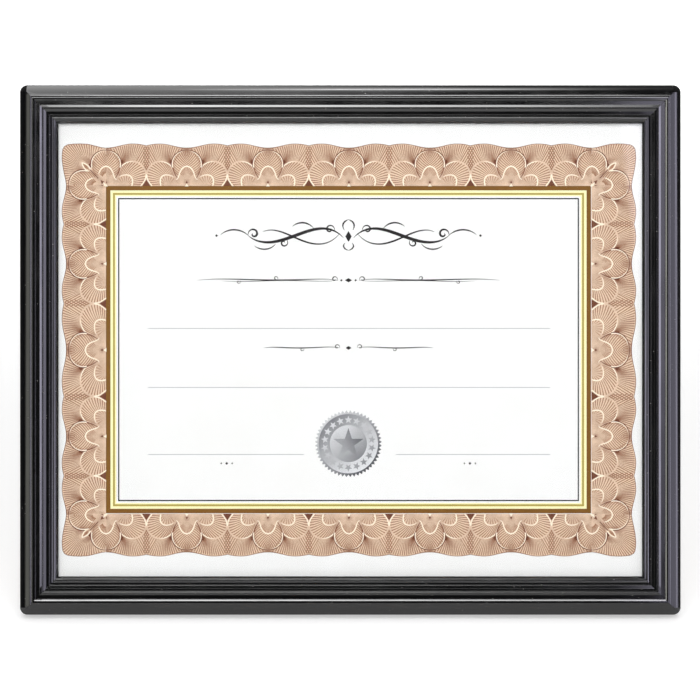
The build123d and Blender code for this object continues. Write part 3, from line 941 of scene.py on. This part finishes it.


# The seal. A disc of silver foil on paper, die-cut with a saw-tooth edge and blind embossed with
# a ring of small stars, a raised rim and one large star, then stuck on the card. The light and shade
# across its embossing are painted into the foil's colour as well.
seal_low, seal_high = upright_box("foil_seal")
seal_mid = (seal_low + seal_high) / 2
seal_r = (seal_high.x - seal_low.x) / 2 / mm
foil_t = 0.12 * mm
relief_max = 0.12 * mm
glue_gap = 0.004 * mm
teeth, tooth = 52, 1.25
rim_r, disc_r, seal_rim_w = 13.9, 8.8, 0.42
big_star_r, big_star_waist, big_star_foot, big_star_rise = 7.4, 0.39, 0.25, 2.2
small_star_r, small_star_waist, small_star_foot, small_star_rise = 1.9, 0.42, 0.3, 0.35
small_star_top, small_star_orbit, small_stars = 0.9, 11.25, 18
seal_rings, tooth_rings, spokes_per_tooth = 96, 4, 12

# How dark each part is, and the painted shading that makes it lighter towards one side and darker
# towards the other, as if lit from there; the rim shadow is painted as well.
painted_light_way = Vector((-0.66, 0.75))
disc_tone, disc_painted_shading, ring_tone, ring_painted_shading = 0.30, -0.44, 0.26, 0.36
brim_tone, brim_painted_shading, small_star_tone, small_star_painted_shading = 0.42, -0.34, 0.26, -0.30
big_star_tone, big_star_painted_shade_across, big_star_painted_shade_up = 0.50, 0.022, 0.016
rim_shadow, least_tone, tone_gain = 0.25, 0.16, 1.2
foil_painted_lit, foil_painted_shaded = colour(236, 237, 239), colour(92, 93, 98)


def star_depth(x, z, tip, waist_share):
    """How far inside a five-pointed star a point lies, in its own unit; negative outside."""
    fold = pi / 5
    angle = abs((atan2(x, z) + fold) % (2 * fold) - fold)
    radius = hypot(x, z)
    px, pz = radius * sin(angle), radius * cos(angle)
    ex, ez = tip * waist_share * sin(fold), tip * waist_share * cos(fold) - tip
    return (px * ez + (tip - pz) * ex) / hypot(ex, ez)


def relief(x, z):
    """The embossing's height at a point of the seal, as a share of the greatest, and its tone.

    The tone is painted shading: the disc, its ring and the stars are painted lighter on one side and
    darker on the other, in opposite directions, as lit embossed foil looks.
    """
    radius = hypot(x, z)
    # lit: how far towards the painted light the point lies
    lit = (x * painted_light_way.x + z * painted_light_way.y) / seal_r
    step = 2 * pi / small_stars
    spin = (atan2(x, z) + step / 2) % step - step / 2
    big = star_depth(x, z, big_star_r, big_star_waist)
    across, up = radius * sin(spin), radius * cos(spin) - small_star_orbit
    small = star_depth(across, up, small_star_r, small_star_waist)
    height = max(0.0, *(1 - ((radius - r) / seal_rim_w) ** 2 for r in (rim_r, disc_r)))
    if radius < disc_r:
        tone = disc_tone + disc_painted_shading * lit
        if big > 0:
            height = max(height, min(1.0, big_star_foot + big / big_star_rise))
            tone = big_star_tone + big_star_painted_shade_across * x + big_star_painted_shade_up * z
    elif radius < rim_r:
        tone = ring_tone + ring_painted_shading * lit
        if small > 0:
            height = max(height, min(small_star_top, small_star_foot + small / small_star_rise))
            tone = small_star_tone + small_star_painted_shading * lit
    else:
        tone = brim_tone + brim_painted_shading * lit
    if abs(radius - disc_r) < seal_rim_w / 2:
        tone -= rim_shadow * max(0.0, -lit)
    return height, min(1.0, max(0.0, least_tone + tone_gain * tone))


def silver_foil():
    """Bright foil over paper: a fine satin, broken by the paper's tooth."""
    made, tree, shader = new_material("silver_foil", Metallic=0.35, IOR=1.5)
    grain = placed(tree, fibres, Fineness=900.0, Mottle=160.0)
    # The shade attribute carries the painted light and shade of the embossing.
    tone = add(tree, "ShaderNodeAttribute", attribute_name="shade").outputs["Fac"]
    tone = plus(tree, tone, about(tree, grain["Clouds"], 0.0, 0.05), clamp=True)
    rough = about(tree, grain["Hairs"], 0.40, 0.06)
    normal = bumped(tree, grain["Hairs"], strength=0.25, depth=0.01 * mm)
    wire(tree, shader, Base_Color=mixed(tree, tone, foil_painted_lit, foil_painted_shaded), Roughness=rough, Normal=normal)
    return made


def seal_mesh():
    """Rings of points from the centre to the toothed edge, lifted by the embossing."""
    spokes = teeth * spokes_per_tooth
    body_r, body_rings = seal_r - tooth, seal_rings - tooth_rings
    points, shades, faces = [], [], []
    for ring in range(1, seal_rings + 1):
        out = max(0, ring - body_rings) / tooth_rings
        for spoke in range(spokes):
            angle = 2 * pi * spoke / spokes
            saw = 1 - abs((spoke / spokes_per_tooth) % 1 - 0.5) * 2
            radius = body_r * min(1.0, ring / body_rings) + tooth * saw * out
            x, z = radius * sin(angle), radius * cos(angle)
            # tone is the painted light and shade at this point of the foil
            height, tone = relief(x, z)
            y = sheet_low.y - foil_t - relief_max * height
            points.append((seal_mid.x + x * mm, y, seal_mid.z + z * mm))
            shades.append(tone)
    for ring in range(seal_rings - 1):
        for spoke in range(spokes):
            a, b = ring * spokes + spoke, ring * spokes + (spoke + 1) % spokes
            faces.append((a, b, b + spokes, a + spokes))
    faces.append(list(reversed(range(spokes))))
    rim = (seal_rings - 1) * spokes
    base = len(points)
    for spoke in range(spokes):
        x, y, z = points[rim + spoke]
        points.append((x, sheet_low.y - glue_gap, z))
        shades.append(shades[rim + spoke])
    for spoke in range(spokes):
        after = (spoke + 1) % spokes
        faces.append((rim + spoke, rim + after, base + after, base + spoke))
    return points, faces, shades


points, faces, shades = seal_mesh()
seal = piece("embossed_seal", points, faces, silver_foil(), smooth=True)
# The seal's points carry its painted shading.
shaded(seal, shades)
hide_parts("foil_seal")


# The filler. Grey chipboard card, cut to the rabbet and laid in loose behind the sheet, takes up
# the rest of the rabbet's depth.
board_grey, board_hair, board_cloud = colour(150, 142, 130), colour(172, 164, 152), colour(128, 120, 108)


def grey_board():
    """Unlined chipboard with short fibres."""
    made, tree, shader = new_material("grey_board", IOR=1.4)
    grain = placed(tree, fibres, Fineness=260.0, Mottle=90.0)
    body = mixed(tree, grain["Hairs"], board_grey, board_hair)
    body = mixed(tree, times(tree, grain["Clouds"], 0.35), body, board_cloud)
    rough = ramp(tree, grain["Hairs"], 0.0, 1.0, to_low=0.8, to_high=0.95)
    wire(tree, shader, Base_Color=body, Roughness=rough)
    return made


dress("filler_card", grey_board())


# The back panel and the leg. Both are cut from 2.5 mm hardboard, smooth brown on the rear, with
# paler sawn edges. The leg hangs from the panel by its hinge.
brown_dark, brown_pale = colour(106, 73, 48), colour(128, 91, 60)
brown_hair, brown_fleck = colour(150, 112, 78), colour(70, 46, 30)


def hardboard():
    """Pressed brown fibreboard: a calendered face with dark flecks and short hairs."""
    made, tree, shader = new_material("hardboard", IOR=1.45)
    grain = placed(tree, fibres, Fineness=330.0, Mottle=55.0)
    flecks = placed(tree, dust, Scale=520.0, Amount=0.9)["Mask"]
    body = mixed(tree, grain["Clouds"], brown_dark, brown_pale)
    body = mixed(tree, times(tree, grain["Hairs"], 0.45), body, brown_hair)
    body = mixed(tree, times(tree, flecks, 0.6), body, brown_fleck)
    rough = ramp(tree, grain["Clouds"], 0.0, 1.0, to_low=0.42, to_high=0.60)
    normal = bumped(tree, grain["Hairs"], strength=0.3, depth=0.05 * mm)
    wire(tree, shader, Base_Color=body, Roughness=rough, Normal=normal)
    return made


brown_board = hardboard()
dress("back_panel", brown_board)
dress("easel_leg", brown_board)


# The steel. V-nails, turn buttons, screws, hangers, rivets and the hinge are stamped or headed
# from mild steel and zinc plated: a soft spangle, fine rolling lines and a bluish cast.
zinc_pale, zinc_dark, zinc_rubbed = colour(206, 209, 214), colour(164, 168, 175), colour(122, 124, 128)


def zinc_plate():
    """Bright zinc over rolled steel."""
    made, tree, shader = new_material("zinc_plate", Metallic=1.0)
    where = on_piece(tree)
    rubs = placed(tree, rubbed, Stretch=(240.0, 2600.0, 2600.0), Amount=1.0)["Mask"]
    spangle = add(tree, "ShaderNodeTexVoronoi", {"Vector": where, "Scale": 420.0}).outputs["Color"]
    spangle = add(tree, "ShaderNodeSeparateColor", {"Color": spangle}).outputs[0]
    cloud = noise(tree, where, scale=130.0, detail=4.0)
    tone = plus(tree, times(tree, spangle, 0.35), times(tree, cloud, 0.5))
    body = mixed(tree, tone, zinc_pale, zinc_dark)
    body = mixed(tree, times(tree, rubs, 0.5), body, zinc_rubbed)
    rough = plus(tree, ramp(tree, cloud, 0.3, 0.7, to_low=0.24, to_high=0.36), times(tree, rubs, 0.15))
    normal = bumped(tree, cloud, strength=0.2, depth=0.02 * mm)
    wire(tree, shader, Base_Color=body, Roughness=rough, Normal=normal)
    return made


zinc = zinc_plate()
steel_nodes = [f"turn_button_{k}" for k in range(1, 9)] + [
    "corner_vnails", "button_screws", "landscape_hanger", "portrait_hanger", "hanger_rivets",
    "hinge_fixed_leaf", "hinge_moving_leaf", "hinge_pin", "hinge_panel_rivets", "hinge_leg_rivets",
]
for node in steel_nodes:
    dress(node, zinc)


# The studio. The frame stands on a white sweep. Two fills light the sheet and the floor; strips and
# boxes that only the gloss shows give the highlights along the rails, and the room in front is dark.
face_centre = lean @ Vector((0, rear_y - rail_d, mid_z))
face_out = lean.to_3x3() @ Vector((0, -1, 0))
face_up = lean.to_3x3() @ Vector((0, 0, 1))
face_right = Vector((1, 0, 0))
white = (1, 1, 1, 1)
sweep_white = (0.86, 0.86, 0.86, 1)
sweep_half, near_reach, far_reach, near_glow, far_glow = 8.0, 0.9, 3.0, 0.48, 0.72
fill, front_gloss, rear_gloss, dark_to, white_from = 0.34, 0.02, 1.0, -0.35, 0.75


def any_of(tree, *names):
    """1 on a ray of any of these kinds."""
    path = add(tree, "ShaderNodeLightPath").outputs
    total = path[names[0]]
    for name in names[1:]:
        total = maths(tree, "MAXIMUM", total, path[name])
    return total


def studio_floor():
    """A white sweep that keeps the object's shadow and looks white to the camera and in reflections.

    Its glow grows with the distance, as the lamps' own light falls off.
    """
    mesh = bpy.data.meshes.new("floor")
    corners = [(x * sweep_half, y * sweep_half, 0) for x, y in ((-1, -1), (1, -1), (1, 1), (-1, 1))]
    mesh.from_pydata(corners, [], [(0, 1, 2, 3)])
    made, tree, shader = new_material(
        "sweep", Base_Color=sweep_white, Roughness=0.9, Specular_IOR_Level=0.0, Emission_Color=white)
    seen = any_of(tree, "Is Camera Ray", "Is Glossy Ray", "Is Transmission Ray")
    reach = add(tree, "ShaderNodeVectorMath", {0: on_piece(tree)}, operation="LENGTH").outputs["Value"]
    glow = ramp(tree, reach, near_reach, far_reach, near_glow, far_glow)
    wire(tree, shader, Emission_Strength=times(tree, seen, glow))
    mesh.materials.append(made)
    floor = bpy.data.objects.new("floor", mesh)
    bpy.context.scene.collection.objects.link(floor)


def room():
    """White to the camera, an even fill for the lit surfaces, and a dark front for reflections."""
    world = bpy.data.worlds.new("room")
    bpy.context.scene.world = world
    world.use_nodes = True
    tree = world.node_tree
    tree.nodes.clear()
    way = add(tree, "ShaderNodeTexCoord").outputs["Generated"]
    depth = add(tree, "ShaderNodeSeparateXYZ", {0: way}).outputs["Y"]
    gloss = ramp(tree, depth, dark_to, white_from, front_gloss, rear_gloss)
    mirrored, lit, shown = [
        add(tree, "ShaderNodeBackground", {"Color": white, "Strength": strength}).outputs[0]
        for strength in (gloss, fill, 1.0)
    ]
    seen = any_of(tree, "Is Camera Ray", "Is Transmission Ray")
    mirror = any_of(tree, "Is Glossy Ray", "Glossy Depth")
    first = add(tree, "ShaderNodeMixShader", {0: seen, 1: lit, 2: shown})
    second = add(tree, "ShaderNodeMixShader", {0: mirror, 1: first.outputs[0], 2: mirrored})
    out = add(tree, "ShaderNodeOutputWorld")
    tree.links.new(second.outputs[0], out.inputs["Surface"])


def softbox(name, place, size, radiance, tint=(1, 1, 1), roll_deg=0, ends=(1, 1), fade=0.25, gloss=True):
    """A softbox that faces the frame, its place given right, up and out from the face's centre.

    It dims over a share of its size at each edge, and from its left to its right end. The ones that
    are there for the gloss alone leave the light on the sheet and the floor even.
    """
    lamp = bpy.data.lights.new(name, "AREA")
    lamp.shape = "RECTANGLE"
    lamp.size, lamp.size_y = size
    lamp.energy = radiance * pi * size[0] * size[1]
    lamp.color = tint
    lamp.use_nodes = True
    tree = lamp.node_tree
    across = add(tree, "ShaderNodeNewGeometry").outputs["Parametric"]
    axes = add(tree, "ShaderNodeSeparateXYZ", {0: across}).outputs
    strength = ramp(tree, axes["X"], 0.0, 1.0, *ends)
    for axis in ("X", "Y"):
        strength = times(tree, strength, ramp(tree, axes[axis], 0.0, fade))
        strength = times(tree, strength, ramp(tree, axes[axis], 1 - fade, 1.0, 1.0, 0.0))
    tree.links.new(strength, tree.nodes["Emission"].inputs["Strength"])
    made = bpy.data.objects.new(name, lamp)
    bpy.context.scene.collection.objects.link(made)
    right, up, out = place
    way = face_right * right + face_up * up + face_out * out
    roll = Matrix.Rotation(radians(roll_deg), 3, "Z").to_quaternion()
    made.location = face_centre + way
    made.rotation_mode = "QUATERNION"
    made.rotation_quaternion = way.to_track_quat("Z", "Y") @ roll
    made.visible_camera = False
    made.visible_diffuse = not gloss
    made.visible_glossy = gloss
    made.visible_transmission = False


studio_floor()
room()
lavender = (0.83, 0.80, 1.0)
grey_green = (1.0, 1.0, 0.90)
lamps = [
    ("front_fill", (0.0, 0.35, 1.6), (1.5, 1.1), 7.1, {"gloss": False}),
    ("rear_fill", (0.0, 0.6, -1.6), (1.5, 1.1), 5.0, {"gloss": False}),
    ("top_strip", (0.0, 0.47, 0.45), (0.42, 0.10), 21.0, {"ends": (1.0, 0.3)}),
    ("top_box", (-0.40, 1.30, 0.90), (0.66, 0.34), 4.5, {}),
    ("top_far_box", (-0.10, 1.08, 0.46), (0.56, 0.50), 6.0, {"ends": (1.0, 0.0), "fade": 0.15}),
    ("top_far_strip", (0.02, 1.07, 0.46), (0.28, 0.16), 12.0, {"fade": 0.4}),
    ("top_crest_box", (0.0, 0.60, 0.45), (0.42, 0.08), 12.0, {"fade": 0.15}),
    ("near_strip", (0.0, 0.245, 0.90), (0.80, 0.11), 17.0, {"ends": (1.0, 0.7), "fade": 0.2, "roll_deg": 4}),
    ("right_strip", (0.55, 0.0, 0.50), (0.09, 0.5), 9.0, {"tint": lavender}),
    ("right_near_box", (0.25, 0.0, 0.5), (0.196, 0.5), 2.6, {"tint": lavender, "fade": 0.02}),
    ("right_mid_box", (0.72, 0.0, 1.0), (0.24, 0.9), 2.0, {"tint": lavender, "fade": 0.04}),
    ("right_box", (1.62, 0.0, 1.0), (0.8, 1.0), 2.1, {"tint": lavender}),
    ("right_edge_strip", (1.05, 0.0, 0.42), (0.14, 0.6), 3.8, {"tint": lavender}),
    ("left_strip", (-0.55, 0.0, 0.50), (0.09, 0.5), 7.0, {"tint": lavender}),
    ("left_thin_strip", (-0.375, 0.0, 0.50), (0.05, 0.5), 6.0, {"tint": lavender}),
    ("left_box", (-1.56, 0.0, 1.0), (0.32, 0.9), 1.7, {"tint": grey_green}),
    ("left_near_box", (-0.48, 0.0, 1.6), (0.18, 1.2), 6.5, {"tint": grey_green}),
]
for name, place, size, radiance, own in lamps:
    softbox(name, place, size, radiance, **own)


# The camera looks along the face's own axis through a long lens; the opening of the frame fills
# the picture as the photograph's does.
photo_side = 700.0
photo_frame_px = (19.6, 681.0, 85.6, 614.4)
camera_distance, sight_end = 3.2, 50.0
sensor_mm = 36.0


def studio_camera():
    """The camera, square to the face, its sensor scaled so that the frame has the photograph's place."""
    left, right, top, bottom = photo_frame_px
    scale = 2 * half_w / (right - left)
    view = bpy.data.cameras.new("camera")
    view.type = "PERSP"
    view.sensor_width = sensor_mm
    view.lens = sensor_mm * camera_distance / (photo_side * scale)
    view.clip_end = sight_end
    made = bpy.data.objects.new("camera", view)
    bpy.context.scene.collection.objects.link(made)
    offset_x = (photo_side / 2 - (left + right) / 2) * scale
    offset_z = ((top + bottom) / 2 - photo_side / 2) * scale
    target = face_centre + face_right * offset_x + face_up * offset_z
    made.location = target + face_out * camera_distance
    made.rotation_mode = "QUATERNION"
    made.rotation_quaternion = face_out.to_track_quat("Z", "Y")
    bpy.context.scene.camera = made


studio_camera()
bpy.context.scene.view_settings.view_transform = "Standard"
